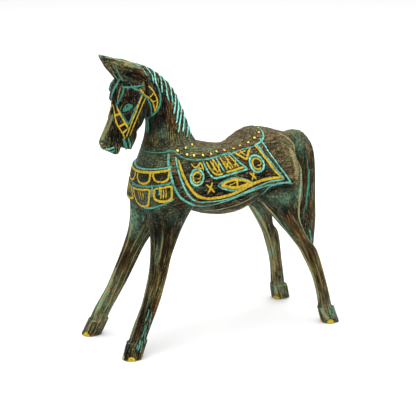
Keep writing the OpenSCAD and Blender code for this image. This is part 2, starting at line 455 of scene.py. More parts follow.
def cross_motif(x, z, size):
    draw(gold_line, [
        ([(x - 5 * size, z + 4 * size), (x, z), (x + 4.5 * size, z - 5 * size)], 1.9),
        ([(x + 2 * size, z + 5.5 * size), (x, z), (x - 3 * size, z - 5.5 * size)], 1.9),
    ])


def lens_motif():
    """A gold leaf with two dark openings, in a turquoise outline."""
    draw(teal_line, [
        ([(-15, 162), (-8, 165.5), (4, 167.5), (15, 165), (25, 160.5)], 1.2, 0.5, -0.5),
        ([(-15, 162), (-7, 157.5), (4, 155), (14, 156), (25, 160.5)], 1.6, 0.7, -0.5),
    ])
    draw(gold_line, [
        ([(-11, 162), (-4, 164.5), (4, 165.5), (13, 164), (23, 160.8)], 2.7),
        ([(-11, 162), (-4, 159.5), (4, 157.7), (13, 158), (23, 160.8)], 3.2),
        ([(7, 165), (7, 158.5)], 2.6),
        ([(-2, 160.8), (3, 162), (6, 163.6)], 1.2),
    ])


def lattice_motif():
    """A gold lattice hanging from the saddle's edge, in two bays with turquoise between."""
    draw(teal_line, [
        ([(-29, 187), (-26, 179), (-22, 172.5), (-18, 170), (-11, 169.8), (0, 171), (21, 173)], 1.7, 0.8),
        ([(9, 188.5), (13, 182), (18, 177), (22, 173)], 1.9, 0.65),
        ([(-11.5, 187.5), (-9, 181), (-5.5, 174)], 1.4, 0.8, -0.5),
        ([(-28, 188), (-10, 188), (8, 188.5)], 1.3, 0.6, -0.4),
    ])
    draw(gold_line, [
        ([(-25.5, 186), (-22.5, 179), (-18, 174), (-13, 172.3), (-8, 172.5)], 1.9),
        ([(-4, 173.3), (6, 174), (18, 175.2)], 2.1),
        ([(-21, 186.5), (-14, 174)], 1.9),
        ([(-16.5, 187), (-10.5, 174.5)], 1.9),
        ([(-7, 187), (-2.5, 175)], 1.9),
        ([(0, 187), (5, 175.5)], 1.9),
        ([(5, 187), (12, 176)], 1.9),
        ([(-4, 183), (3, 175)], 1.9),
        ([(-16.5, 187), (-19, 176)], 1.6),
        ([(-10, 184), (-13, 175)], 1.6),
        ([(3, 184), (-3, 176)], 1.6),
        ([(11, 182), (7, 176)], 1.6),
    ])


def triangle_motifs():
    draw(gold_line, [
        ([(-43, 186.5), (-38.5, 182.5), (-32, 186.5)], 1.8),
        ([(-32, 186.5), (-31, 183), (-30.5, 178.5)], 1.8),
        ([(-38.5, 182.5), (-31.5, 180.5)], 1.5),
        ([(-36, 187), (-34, 183)], 1.1),
        ([(14, 187.5), (23.5, 181)], 2.5),
        ([(23.5, 181), (32.5, 191)], 2.3),
        ([(21, 189), (24.5, 184.5)], 1.6),
        ([(18.5, 186), (27.5, 188.5)], 1.6),
    ])


def blanket():
    x, z = P[:, 0], P[:, 2]
    on_flank = np.abs(P[:, 1]) > 14
    for front, rear, height in ((BLANKET_OUTER, BLANKET_REAR, 1.1), (INNER_LINE, INNER_REAR, 1.6)):
        outline = np.vstack([curve(front), curve(rear)[::-1]])
        panel(np.where(on_flank, outline_distance(x, z, outline), CLEAR), height, 0.7)
    draw(teal_line, [
        (np.array(BLANKET_OUTER) + (0, 0.7), 2.0, 0.65, -0.5),
        (BLANKET_REAR, 1.6, 0.9, -0.7),
        (INNER_LINE, 1.7, 0.75, -0.7),
        (INNER_REAR, 2.0, 0.6, -0.6),
    ])
    draw(rust_line, [(RIDGE_LINE, 2.4, 1.0, 0.3)])
    draw(gold_line, [(BORDER, 3.0, 0.5), (BORDER_REAR, 2.6, 0.5)], tip=14)
    for middle in RINGS:
        ring_motif(*middle)
    for cross in CROSSES:
        cross_motif(*cross)
    lens_motif()
    lattice_motif()
    triangle_motifs()


# ---- collar

def collar_edge(base, rise):
    """One of the collar's edges, which rise towards the blanket: its height at an angle."""
    def height(degrees):
        return base + rise * (abs(degrees) / 60) ** 1.5
    return height


collar_top = collar_edge(180.5, 5)
collar_middle = collar_edge(164, 7)
collar_bottom = collar_edge(140, 13.5)

COLLAR_END = 61
# Scallops of each tier: their middle and half width, in degrees
UPPER_SCALLOPS = [(-44, 11), (-15, 12), (16, 12), (44, 11)]
LOWER_SCALLOPS = [(-52, 10), (-27, 13), (12, 18), (48, 11)]
# The lower edge of a scallop: how far across it, and how far up
SCALLOP_EDGE = [(-1, 5), (-0.8, 2), (-0.4, 0.2), (0, 0), (0.4, 0.2), (0.8, 2), (1, 5)]
# Turquoise lines under the upper tier: their place in degrees and their length
TASSELS = [(-36, 9), (-9, 8), (33, 10), (43, 9), (-60, 6)]


def round_chest(height, offset=0.0, start=-COLLAR_END, end=COLLAR_END):
    """A curve round the chest, offset above the height that a function of the angle gives."""
    return on_chest([(a, height(a) + offset) for a in np.arange(start, end + 0.1, 1.5)])


def scallop(middle, half, top, bottom, width):
    low = bottom(middle) + 3
    left, right = middle - half, middle + half
    edge = [(middle + side * half, low + rise) for side, rise in SCALLOP_EDGE]
    points = [(left, top(left) - 3)] + edge + [(right, top(right) - 3)]
    gold_line(on_chest(curve(points)), width, 0.5, tip=0, both_sides=False)


def hanging_line(line, degrees, drop, length, *numbers):
    """A line down the chest, that starts a drop below the collar's middle edge."""
    top = collar_middle(degrees) - drop
    points = [(degrees, top), (degrees + 0.5, top - length / 2), (degrees, top - length)]
    line(on_chest(curve(points)), *numbers, both_sides=False)


def collar():
    degrees = np.degrees(np.arctan2(-P[:, 1], CHEST_AXIS_X - P[:, 0]))
    z = P[:, 2]
    beyond = (np.abs(degrees) - COLLAR_END) * 0.6
    chest = P[:, 0] < CHEST_AXIS_X
    for high, low, height in ((collar_top, collar_middle, 2.2), (collar_middle, collar_bottom, 3.0)):
        tier = np.maximum(np.maximum(z - high(degrees), low(degrees) - z), beyond)
        panel(np.where(chest, tier, CLEAR), height, 0.9)
    rim = round_chest(collar_top, -2.6, 2 - COLLAR_END, COLLAR_END - 2)
    teal_line(round_chest(collar_top, 0.5), 1.6, 0.65, -0.5, both_sides=False)
    teal_line(round_chest(collar_middle), 1.7, 0.55, -0.9, both_sides=False)
    teal_line(round_chest(collar_bottom, -0.5, -64, 64), 1.7, 0.65, -0.6, both_sides=False)
    gold_line(rim, 2.4, 0.5, both_sides=False)
    for middle, half in UPPER_SCALLOPS:
        scallop(middle, half, collar_top, collar_middle, 2.1)
    for middle, half in LOWER_SCALLOPS:
        scallop(middle, half, collar_middle, collar_bottom, 2.5)
        bar = round_chest(collar_middle, -3, middle - half, middle + half)
        gold_line(bar, 2.2, 0.5, both_sides=False)
        for offset in (-0.28, 0, 0.28):
            hanging_line(gold_line, middle + offset * half, 4, 10, 1.3, 0.4)
    for place, length in TASSELS:
        hanging_line(teal_line, place, 1, length, 1.4, 0.6, 0.2)


# ---- head and mane

EYE = [
    (-108, 242), (-107, 246.5), (-105, 249.8), (-101, 251), (-97.3, 249.7), (-95.8, 247), (-99.5, 244),
    (-103.5, 242.3),
]
PUPIL = (-103, 248)
# Strands of the mane: points from the crest down, width
STRANDS = [
    ([(-84, 283.5), (-81, 279), (-79, 275)], 1),
    ([(-77.5, 284.5), (-75, 279), (-73, 274), (-73, 267)], 1.4),
    ([(-71.5, 282), (-69, 278), (-69, 273), (-70, 268), (-67.5, 263)], 1.4),
    ([(-64, 276), (-62, 271), (-63, 266), (-64, 258)], 1.3),
    ([(-58.5, 272), (-57, 265), (-58, 257), (-57, 249)], 1.5),
    ([(-52.5, 267.5), (-51, 261), (-52, 254), (-52, 244)], 1.6),
    ([(-46, 259), (-46, 252), (-48, 246), (-52, 235)], 1.6),
    ([(-42, 252), (-43, 245), (-46, 236), (-50, 226)], 1.8),
    ([(-38, 245), (-40, 238), (-44, 229), (-49, 217)], 1.9),
    ([(-35.5, 236), (-39, 227), (-43, 215.5)], 1.8),
    ([(-31.5, 226), (-34, 219), (-39, 210.5)], 1.6),
    ([(-29, 218), (-31, 216), (-33, 211)], 1.2),
]


def mane():
    for points, width in STRANDS:
        line = curve(points)
        teal_line(on_side(line), width, 1.0, 0.9, tip=5)
        stroke(on_side(line + (2.5, 0.8)), 1.5, -0.9, tip=5)
        stroke(on_side(line + (-2.3, -0.8)), 1.2, -0.6, tip=5)
    draw(teal_line, [([(-94, 289), (-88, 287), (-82, 284)], 2.0, 0.7, 0.0)], tip=5)
    draw(rubbed_line, [([(-66, 278.5), (-60, 275), (-54, 269)], 1.8, 0.9)])


def eye():
    outline = curve(EYE + EYE[:1], 0.5)
    flank = (np.abs(P[:, 1]) > 4) & (P[:, 0] < -85)
    d = np.where(flank, outline_distance(P[:, 0], P[:, 2], outline), CLEAR)
    lift[:] += 1.1 * smoothstep(0.2, -2.4, d)
    stroke(on_side(outline), 1.5, -0.9, tip=0)
    paint = np.maximum(d + 0.7, 1.3 - np.hypot(P[:, 0] - PUPIL[0], P[:, 2] - PUPIL[1]))
    paint = np.where(flank, paint, CLEAR)
    bright[:] = np.where(paint < teal, 0.2, bright)
    teal[:] = np.minimum(teal, paint)


def bridle():
    draw(gold_line, [
        ([(-116, -1, 249), (-115, -6, 241), (-113, -10, 231), (-108, -11, 222), (-104, -10, 215)], 1.6),
        ([(-113, -7, 248), (-110, -11, 240), (-105, -13, 231), (-101, -13, 224)], 1.7),
        ([(-115, -6, 239), (-110, -11, 241)], 2.1),
        ([(-112, -11, 228), (-105, -13, 231)], 2.1),
        ([(-108, -11, 221), (-103, -13, 225)], 2.1),
        ([(-84, 257), (-90, 248), (-97, 235), (-103, 217)], 1.5),
        ([(-80, 254), (-86, 246), (-94, 233), (-99, 217)], 1.5),
        ([(-89, 264), (-82, 257), (-76, 252), (-73, 247), (-71, 239)], 1.6),
        ([(-79, 266), (-74, 260), (-71, 254), (-69.5, 248), (-71, 239)], 1.5),
        ([(-77, 254), (-73.5, 259)], 1.6),
        ([(-74, 249), (-70, 251)], 1.5),
    ])
    draw(stroke, [([(-83, 255), (-88.5, 246.5), (-95.5, 234), (-101, 219)], 0.9, -0.4)])


def head_lines():
    """Painted, rubbed and cut lines on the head, the ears and the bridle's prongs."""
    draw(teal_line, [
        ([(-113, 289), (-109, 280), (-104, 272)], 1.2, 0.4),
        ([(-106, 267), (-100, 266), (-92, 266.5), (-86, 267), (-84, 270)], 1.7),
        ([(-104, 266), (-108, 256), (-111, 249), (-109, 242), (-105, 235), (-101, 229)], 1.7, 0.3),
        ([(-96, 265), (-89, 262), (-85, 258), (-88, 252), (-92, 247), (-96, 241), (-101, 230)], 1.5),
        ([(-69, 266), (-67, 261), (-66, 254), (-67, 246), (-70.5, 238), (-74, 233)], 1.6, 0.4),
        ([(-85, 258), (-80, 254), (-76, 248), (-74, 241), (-73, 235)], 1.3, 0.4),
        ([(-74, 233), (-76, 226), (-77, 216)], 2, 0.3, -0.3),
        ([(-106, 216), (-103, 210), (-100.5, 204)], 2.6, 0.35, 0),
        ([(-100, 216), (-98, 210), (-96.5, 204)], 1.5, 0.45, 0),
        ([(-124, -3, 205.5), (-120.5, -8, 206.5), (-116, -9, 208)], 2, 0.6, 0.2),
        ([(-121, -5, 203), (-117, -8, 203.5), (-115, -8.5, 205)], 2.6, 0.45, 0),
    ])
    draw(teal_line, [
        ([(-105, -3, 275), (-111, -3, 266), (-116, -2.5, 255)], 1.9, 0.4, 0),
        ([(-106, 4, 276), (-111, 4, 270), (-114, 4.5, 262)], 2.6, 0.4, 0),
    ], both_sides=False)
    draw(gold_line, [
        ([(-127, -1, 212), (-126.5, -5, 211.5)], 1.6, 0.2),
        ([(-124, -6, 207), (-122.5, -8, 207)], 1.7, 0.2),
    ])
    draw(rubbed_line, [
        ([(-121, 297), (-112, 294.5), (-103, 291.5), (-94, 289), (-86, 286.5)], 1.4, 0.9),
        ([(-117, -3, 240), (-122, -3, 228), (-127, -2, 216)], 3.6, 0.6, 0),
        ([(-104, 289), (-95, 287.5), (-86, 284)], 3, 0.6, 0),
    ])
    draw(stroke, [
        ([(-100.5, 213), (-99.5, 208), (-98.5, 202)], 1.4, -1.2),
        ([(-112.5, 212), (-112, 207), (-110.5, 201)], 1.8, -1.4),
        ([(-126, -1, 208), (-123, -6, 208), (-119, -9, 209.5), (-114, -9, 212)], 1, -0.9),
    ])
    draw(stroke, [([(-117, 289), (-112, 281), (-107, 272)], 3.0, -1.0)], tip=8)


# ---- legs, tail and other lines

# Middle lines of a left leg, from the sole up: z, x, y
FRONT_LEG = [
    (0, -117.5, -44), (28, -104, -40), (50, -93, -36.5), (75, -83, -32), (95, -75.5, -27),
    (114, -67.5, -22), (130, -62.5, -18.5), (150, -57, -17),
]
HIND_LEG = [
    (0, 117, -48), (12, 112, -46), (30, 109.5, -44), (52, 104, -40), (77, 96.5, -34),
    (98, 86.5, -28), (115, 75.5, -23), (133, 67, -21), (152, 62, -20),
]
LIMB_RADIUS = 11
EAR_BASE_Z = 270
# Where a leg's knife-cut facets meet, in degrees round it, and how far that drifts up the leg
FACET_ANGLES = [-6, 38, 76, 116, 158, 190, 226, 262, 304]
FACET_DRIFT = 9


def about(line, points):
    """Offsets in X and Y from a limb's middle line at each point's height."""
    z, x, y = np.array(line, float).T
    return points[:, 0] - np.interp(points[:, 2], z, x), points[:, 1] - np.interp(points[:, 2], z, y)


def facets(line, points):
    """How a limb is cut flat between some angles round it: how far each point is from the limb's middle
    line in X and Y, how much of that is cut off, its distance from the nearest ridge, and the numbers of
    its facet and of that ridge."""
    dx, dy = about(line, points)
    turn = np.degrees(np.arctan2(dy, dx)) + FACET_DRIFT * np.sin(points[:, 2] / 21)
    edges = np.array(FACET_ANGLES + [FACET_ANGLES[0] + 360], float)
    turn = (turn - edges[0]) % 360 + edges[0]
    facet = np.clip(np.searchsorted(edges, turn, side="right") - 1, 0, len(FACET_ANGLES) - 1)
    half = (edges[facet + 1] - edges[facet]) / 2
    from_middle = turn - edges[facet] - half
    cut_off = 1 - np.cos(np.radians(half)) / np.cos(np.radians(from_middle))
    from_ridge = np.radians(half - np.abs(from_middle)) * np.hypot(dx, dy)
    ridge = (facet + (from_middle > 0)) % len(FACET_ANGLES)
    return dx, dy, np.clip(cut_off, 0, 0.2), from_ridge, facet, ridge


def leg_parts():
    """Which points belong to the front and the hind legs, from 0 to 1, fading out at the top."""
    x, z = P[:, 0], P[:, 2]
    front = (x < -30) * (1 - smoothstep(108, 140, z))
    hind = (x > 30) * (1 - smoothstep(104, 140, z)) * (np.abs(P[:, 1]) > 12)
    return front, hind


def along_leg(number, length, seed):
    """A random value from 0 to 1 that runs along each numbered strip of the legs."""
    return noise(np.column_stack([P[:, 2] / length, number, number * 0]), seed)


def facet_legs():
    """Cuts the legs to facets. Returns how light, or below 0 how dark, each point's ridge is, and a tone
    from 0 to 1 that runs along each facet and is 0.5 off the legs."""
    ridges = np.zeros(len(P))
    tone = np.full(len(P), 0.5)
    for leg, (part, line) in enumerate(zip(leg_parts(), (FRONT_LEG, HIND_LEG))):
        dx, dy, cut_off, from_ridge, facet, ridge = facets(line, flank_side)
        right = P[:, 1] > 0
        P[:, 0] -= dx * cut_off * part
        P[:, 1] -= dy * cut_off * part * np.where(right, -1, 1)
        strip = 20 * leg + 50 * right
        shade = along_leg(ridge + strip, 26, 12)
        light = 0.6 * smoothstep(0.6, 0.8, shade) - smoothstep(0.5, 0.35, shade)
        ridges += part * light * smoothstep(1.1, 0.1, from_ridge)
        tone += part * (along_leg(facet + strip, 34, 11) - 0.5)
    return ridges, tone


# From the leg's middle to the gold half discs of a hoof, in degrees from the front to the left
HOOF_SPOTS = (-28, 56)
HOOF_RIM_Z, HOOF_RADIUS_X, HOOF_RADIUS_Y = 15, 9.6, 9.2


def hooves():
    for line in (FRONT_LEG, HIND_LEG):
        _, x, y = line[0]
        for degrees in HOOF_SPOTS:
            edge_x, edge_y, _ = round_about(x, y, 1.5, degrees, 30)
            spot(edge_x, edge_y, 0.5, 4.4, 0.3)
        rim = [
            (x + HOOF_RADIUS_X * math.cos(turn), y + HOOF_RADIUS_Y * math.sin(turn), HOOF_RIM_Z)
            for turn in np.linspace(0, 6.28, 30)
        ]
        stroke(nearest(rim), 1.0, -0.4, tip=0)


def tail_lines():
    draw(teal_line, [
        ([(108, -11, 178), (110, -11, 169), (112, -11, 157), (113, -11, 147), (112, -11, 134),
          (111, -9, 120), (109, -7, 110), (109, -5, 100)], 0.9, 0.4, -0.4),
    ], tip=20)
    draw(teal_line, [
        ([(112.5, -11, 155), (113, -11, 145), (112, -11, 134), (110.5, -9, 120)], 2.6, 0.4, 0.1),
    ], tip=16)
    draw(teal_line, [([(118, -6, 88), (120, -5, 82), (122, -4, 75)], 2.0, 0.55, 0.0)])
    draw(stroke, [
        ([(108 + shift, 178), (113 + shift, 160), (114 + shift, 135), (117 + 0.6 * shift, 105),
          (122 + 0.2 * shift, 80)], 1.1, -0.5)
        for shift in (-7, -4, 4, 7)
    ], tip=20)


def leg_lines():
    """Rubbed edges and dabs of verdigris on the legs and the rump."""
    draw(rubbed_line, [
        ([(-44, -20, 130), (-49, -28, 112), (-61, -33, 92), (-74, -37, 70), (-87, -42, 46),
          (-94, -45, 34)], 1.6, 0.6),
        ([(-83, -20, 112), (-86, -25, 94), (-92, -31, 74), (-101, -35, 50), (-109, -38, 34),
          (-117, -38, 18)], 1.2, 0.7),
        ([(46, -24, 132), (56, -27, 116), (66, -29, 102), (78, -34, 84), (89, -39, 62), (98, -43, 38),
          (103, -45, 22)], 3.6, 1),
    ], tip=12)
    draw(rubbed_line, [
        ([(75, -14, 204), (83, -18, 197), (88, -20, 188), (90, -24, 178), (88, -31, 168), (85, -37, 158),
          (83.5, -40, 148), (82, -40, 136), (83, -38, 123), (86.5, -37, 110), (92, -38, 98),
          (99, -40, 87)], 2.8, 1, 0.8),
    ], tip=16)
    draw(rubbed_line, [([(79, -26, 186), (80, -33, 172), (77, -39, 158)], 7, 0.5, 0.0)], tip=10)
    far_leg_lines()
    hoof_lines()


def far_leg_lines():
    draw(rubbed_line, [([(-84, 20, 140), (-84, 21, 118), (-87, 24, 94)], 1.6, 0.7)], tip=12, both_sides=False)
    draw(rubbed_line, [([(-93, 33, 70), (-103, 37, 46), (-113, 39, 26)], 2.2, 1.0)], tip=8, both_sides=False)
    draw(rubbed_line, [
        ([(62, 18, 118), (74, 22, 98), (84, 29, 78), (93, 34, 54), (99, 38, 32)], 4.4, 0.8, 0),
        ([(-98, 32, 58), (-108, 36, 38), (-116, 39, 22)], 4, 0.6, 0),
    ], tip=10, both_sides=False)


def hoof_lines():
    draw(rubbed_line, [
        ([(106, -48, 16), (109, -51, 9), (111, -53, 3)], 3.4, 0.8, 0),
        ([(104, 40, 16), (107, 42, 9), (108.5, 43, 2)], 3, 0.8, 0),
        ([(-121, 38, 16), (-124, 39, 9), (-127, 40, 3)], 3, 0.8, 0),
    ], both_sides=False)
    draw(teal_line, [([(122, -53, 20), (124, -54, 12), (126, -55, 5)], 3, 0.5, 0)], both_sides=False)
    draw(teal_line, [
        ([(-98, -44, 49), (-100, -45, 43), (-103, -45, 37)], 1),
        ([(-95, -45, 46), (-98, -46, 37), (-100, -47, 30)], 0.8),
        ([(-104, -47, 34), (-106, -48, 28), (-109, -48, 22)], 1),
        ([(-101, -47, 36), (-104, -48, 28), (-106, -48, 19)], 0.8),
        ([(-111, -49, 20), (-112, -49, 15), (-115, -51, 10)], 1.4),
        ([(-108, -49, 19), (-110, -50, 13), (-112, -51, 7)], 1.2),
        ([(-105, -48, 20), (-106, -49, 15)], 1.4),
        ([(-114, -49, 16), (-116, -50, 11)], 1),
        ([(112, -54, 16), (112, -55, 9)], 1.4),
        ([(118, -55, 24), (119, -55, 16), (121, -56, 9)], 1.2),
    ], tone=0.45, height=0.2, both_sides=False)


def breast_line(degrees):
    """Height of the line round the chest over the collar."""
    return 200 - 2 * math.cos(math.radians(degrees * 1.5))


def body_lines():
    """Painted lines on the chest, belly and thighs."""
    teal_line(round_chest(breast_line, 0, -66, 66), 1.0, 0.35, -0.4, both_sides=False)
    draw(teal_line, [
        ([(73, 153), (62, 155), (48, 152), (44, 146), (38, 140)], 1.5),
        ([(-82, 0, 139), (-82, 0, 130), (-80, 0, 120)], 1.3, 0.5, -1),
    ])
    draw(rubbed_line, [
        ([(-24, 134), (-8, 134), (8, 137), (26, 143), (36, 146)], 1.4, 0.7),
        ([(-18, 128), (0, 127), (18, 131), (32, 137)], 1.6, 0.8),
    ], tip=8)
    draw(stroke, [([(86, 0, 165), (84, 0, 145), (80, 0, 128)], 1.6, -1.2)])


# ---- carving

# Where the carved body is fuller or leaner than its blocks, as centre, reach and amount in mm
SWELLS = [
    ((87, -21, 184), (9, 12, 9), 4.2),
    ((89, -34, 162), (8, 14, 13), -2.2),
]


def swell():
    for centre, reach, amount in SWELLS:
        lift[:] += amount * np.exp(-(((flank_side - centre) / reach) ** 2).sum(1))


def carve():
    """Moves the skin's points by all the relief."""
    stretched = grain_places() / np.array([GRAIN_STRETCH * 2.2, 2.2, 2.2])
    knife = (noise(stretched, 3) - 0.5) * 0.5 + (noise(stretched * 2.6, 4) - 0.5) * 0.2
    soft = 1 - 0.8 * smoothstep(0.1, 0.6, lift)
    depth = lift + raised + sunken + knife * soft
    depth = 0.7 * depth + 0.3 * neighbour_mean(depth)
    P[:] += N * depth[:, None]
    P[:, 2] = np.maximum(P[:, 2], 0)


def grain_places():
    """Places along and across the wood's grain, which follows each limb, the ears and the body."""
    front, hind = leg_parts()
    x, y, z = P.T
    upright = (z > NECK_Z) | (x > TAIL_X)
    places = np.column_stack([np.where(upright, z, x), np.where(upright, x, z), y])
    ears = np.column_stack([0.5 * z - 0.87 * x, 0.87 * z + 0.5 * x, y])
    places = np.where((z - EAR_BASE_Z > 0.2 * (x + 95))[:, None] & (x < -78)[:, None], ears, places)
    for part, line in ((front, FRONT_LEG), (hind, HIND_LEG)):
        dx, dy = about(line, flank_side)
        round_limb = LIMB_RADIUS / np.maximum(np.hypot(dx, dy), 1)
        leg = np.column_stack([z, dx * round_limb + 40 * (y > 0), dy * round_limb])
        places = np.where((part > 0)[:, None], leg, places)
    return places


def bends():
    """How far the carved skin bends outwards, above 0, or inwards, below 0, per millimetre."""
    start, end = EDGES.T
    step = P[end] - P[start]
    length = np.einsum("ij,ij->i", step, step) + 1e-6
    out = normals(skin)
    total = np.bincount(start, np.einsum("ij,ij->i", out[start], step) / length, len(P))
    total -= np.bincount(end, np.einsum("ij,ij->i", out[end], step) / length, len(P))
    bend = -total / np.bincount(EDGES.ravel(), minlength=len(P))
    for _ in range(2):
        bend = 0.4 * bend + 0.6 * neighbour_mean(bend)
    return bend


# Patches of darkness and of paleness, as centre, reach in mm and amount. Those on the body are
# on both its sides
DARK_BODY_PATCHES = [
    ((-73, 0, 230), (15, 30, 28), 1),
    ((-100, 0, 240), (26, 30, 34), 0.6),
    ((100, 0, 144), (12, 14, 34), 1),
    ((-93, -12, 277), (12, 14, 6), 0.8),
    ((106, -9, 146), (5, 8, 34), 1),
    ((70, -36, 150), (16, 12, 5), 0.8),
    ((74, -38, 123), (12, 14, 7), 0.5),
    ((-56, -26, 138), (14, 14, 8), 0.7),
    ((-70, -24, 156), (15, 16, 11), 0.8),
    ((-72, -22, 174), (15, 16, 7), 0.7),
    ((-88, -26, 86), (10, 18, 22), 0.8),
]
DARK_LEG_PATCHES = [
    ((-68, -30, 92), (16, 16, 34), 0.9),
    ((-76, -32, 118), (14, 14, 16), 1),
    ((-100, -38, 50), (8, 14, 26), 0.7),
    ((-114, -44, 14), (14, 14, 16), 0.5),
    ((-89, 28, 82), (12, 12, 18), 0.9),
    ((80, -40, 98), (10, 12, 14), 0.5),
    ((93, -44, 74), (8, 10, 18), 0.8),
    ((102, -50, 46), (7, 9, 18), 0.7),
]
PALE_BODY_PATCHES = [
    ((86, -18, 188), (11, 14, 9), 1),
    ((85, -33, 172), (6, 10, 16), 0.8),
    ((2, -24, 130), (26, 10, 3), 0.9),
    ((-32, -28, 136), (14, 12, 3), 0.7),
    ((60, -30, 192), (12, 10, 6), 0.4),
    ((-104, -7, 289), (20, 10, 4), 0.8),
    ((104, -6, 188), (9, 10, 7), 0.4),
]
PALE_LEG_PATCHES = [
    ((-101, 32, 48), (9, 9, 13), 0.9),
    ((-111, 35, 18), (9, 9, 13), 0.9),
    ((-113, -46, 22), (6, 6, 8), 0.4),
    ((112, -54, 16), (8, 8, 13), 1),
    ((111, -49, 40), (3, 6, 14), 0.8),
    ((76, 16, 104), (9, 12, 14), 0.8),
    ((98, 36, 42), (9, 9, 22), 1),
    ((106, 42, 12), (10, 10, 13), 1),
]
# Patches of colour, as centre, reach in mm, and the amounts of green, olive and rust.
# Those on the body are on both its sides
BODY_PATCHES = [
    ((-72, 0, 192), (26, 40, 13), (0.4, 0.2, 0)),
    ((-84, -9, 152), (9, 9, 8), (0, 0.7, 0)),
    ((-72, -11, 212), (4, 8, 6), (0, 0.9, 0.2)),
    ((-65, -16, 217), (4, 8, 8), (0.8, 0, 0)),
    ((-54, -20, 211), (5, 9, 5), (0, 0.8, 0.9)),
    ((-58, -21, 205), (4, 9, 4), (0, 0, 1)),
    ((-45, -19, 212), (6, 9, 8), (0, 0.2, 0.8)),
    ((-42, -18, 203), (13, 14, 7), (0.7, 0.3, 0)),
    ((64, -34, 139), (12, 14, 7), (1, 0.2, 0)),
    ((82, -38, 142), (8, 14, 10), (1, 0.3, 0)),
    ((78, -34, 112), (10, 14, 9), (0.1, 0.1, 0.6)),
    ((60, -14, 206), (10, 14, 6), (0, 0.1, 0.8)),
    ((83, -32, 174), (7, 12, 22), (0, 1, 0)),
    ((79, -38, 150), (5, 12, 14), (0.2, 0.8, 0)),
    ((76, -24, 185), (12, 14, 14), (0.1, 0.4, 0.4)),
    ((98, 0, 198), (12, 14, 6), (0.7, 0, 0.2)),
    ((102, -8, 184), (9, 10, 11), (1, 0.1, 0)),
    ((112, -6, 178), (6, 10, 12), (0.1, 0.1, 0.8)),
    ((118, 0, 110), (8, 14, 50), (0.2, 0.1, 0.7)),
    ((110, 0, 130), (10, 14, 40), (0.1, 0.1, 0.6)),
    ((-98, -9, 289), (14, 10, 4), (0.1, 0.7, 0)),
    ((-112, -9, 290), (8, 8, 4), (0.1, 1, 0)),
    ((-125, 0, 214), (4, 8, 20), (0.8, 0.5, 0)),
    ((118, -9, 122), (4, 6, 16), (0, 0.2, 1)),
    ((-53, -14, 236), (6, 12, 16), (0, 0.1, 1)),
    ((20, -20, 198), (40, 26, 6), (0, 0.1, 0.4)),
    ((-76, -20, 156), (12, 20, 18), (0.6, 0, 0)),
]
LEG_PATCHES = [
    ((-84, 18, 126), (14, 20, 18), (1, 0.1, 0)),
    ((-90, 26, 88), (12, 14, 16), (0, 0.2, 0.5)),
    ((-104, 40, 38), (16, 10, 20), (0.4, 1, 0)),
    ((-46, -24, 124), (8, 14, 18), (0.9, 0.3, 0)),
    ((-66, -28, 136), (10, 14, 8), (0.35, 0, 0)),
    ((-60, -30, 108), (5, 8, 9), (0, 0, 1)),
    ((-69, -38, 84), (6, 8, 22), (0, 0.6, 0.9)),
    ((-84, -42, 58), (6, 8, 20), (0, 0.5, 0.9)),
    ((66, 26, 118), (14, 16, 18), (0.7, 0.2, 0)),
    ((94, 34, 64), (8, 10, 36), (0.1, 0.9, 0.1)),
    ((110, 40, 14), (10, 10, 14), (0.3, 0.8, 0)),
    ((84, -36, 94), (12, 14, 20), (0.1, 0.2, 0.6)),
    ((102, -46, 52), (10, 12, 24), (0.1, 0.4, 0.8)),
    ((114, -52, 12), (12, 12, 12), (0.8, 0.3, 0)),
]


def spread(body_patches, leg_patches):
    """The strongest of some patches at each point."""
    total = 0
    patches = [(patch, flank_side) for patch in body_patches] + [(patch, P) for patch in leg_patches]
    for (centre, reach, amount), points in patches:
        fall = np.exp(-(((points - centre) / reach) ** 2).sum(1) / 1.2)
        total = np.maximum(total, np.outer(fall, amount))
    return total


def patina(tone, dark):
    """The amounts of green, olive and rust at each point."""
    total = 0.9 * spread(BODY_PATCHES, LEG_PATCHES)
    total[:, 1] += 0.35 * smoothstep(0.7, 0.85, tone)
    total[:, 2] += 0.6 * smoothstep(0.4, 0.25, tone)
    streaks = grain_places() / (24, 7, 7)
    for i, amount in enumerate((0.3, 0.4, 0.5)):
        total[:, i] += amount * smoothstep(0.66, 0.85, noise(streaks, 20 + i))
    total[:, 2] = np.maximum(total[:, 2], rusty)
    total[:, :2] *= 1 - 0.7 * dark[:, None]
    return np.minimum(total, 1)


def pale_paint_and_top_light():
    """How much pale colour lies over each point: painted top light over what faces up, and paler colour over
    the croup and the pale patches.
    """
    x, z = P[:, 0], P[:, 2]
    # Painted top light: paler where the skin faces up
    facing_up = smoothstep(0.15, 0.95, normals(skin)[:, 2]) * smoothstep(80, 130, z)
    croup = smoothstep(40, 52, x) * smoothstep(92, 84, x) * smoothstep(150, 175, z)
    pale = spread(PALE_BODY_PATCHES, PALE_LEG_PATCHES)[:, 0]
    return np.maximum(np.maximum(facing_up, 0.65 * croup), pale)


def store(name, values):
    kind = "FLOAT" if values.ndim == 1 else "FLOAT_VECTOR"
    field = "value" if values.ndim == 1 else "vector"
    attribute = skin.attributes.new(name, kind, "POINT")
    attribute.data.foreach_set(field, values.astype(np.float32).ravel())


PARTS = (
    swell, saddle, blanket, studs, collar, mane, eye, head_lines, bridle, hooves, tail_lines, leg_lines,
    body_lines,
)


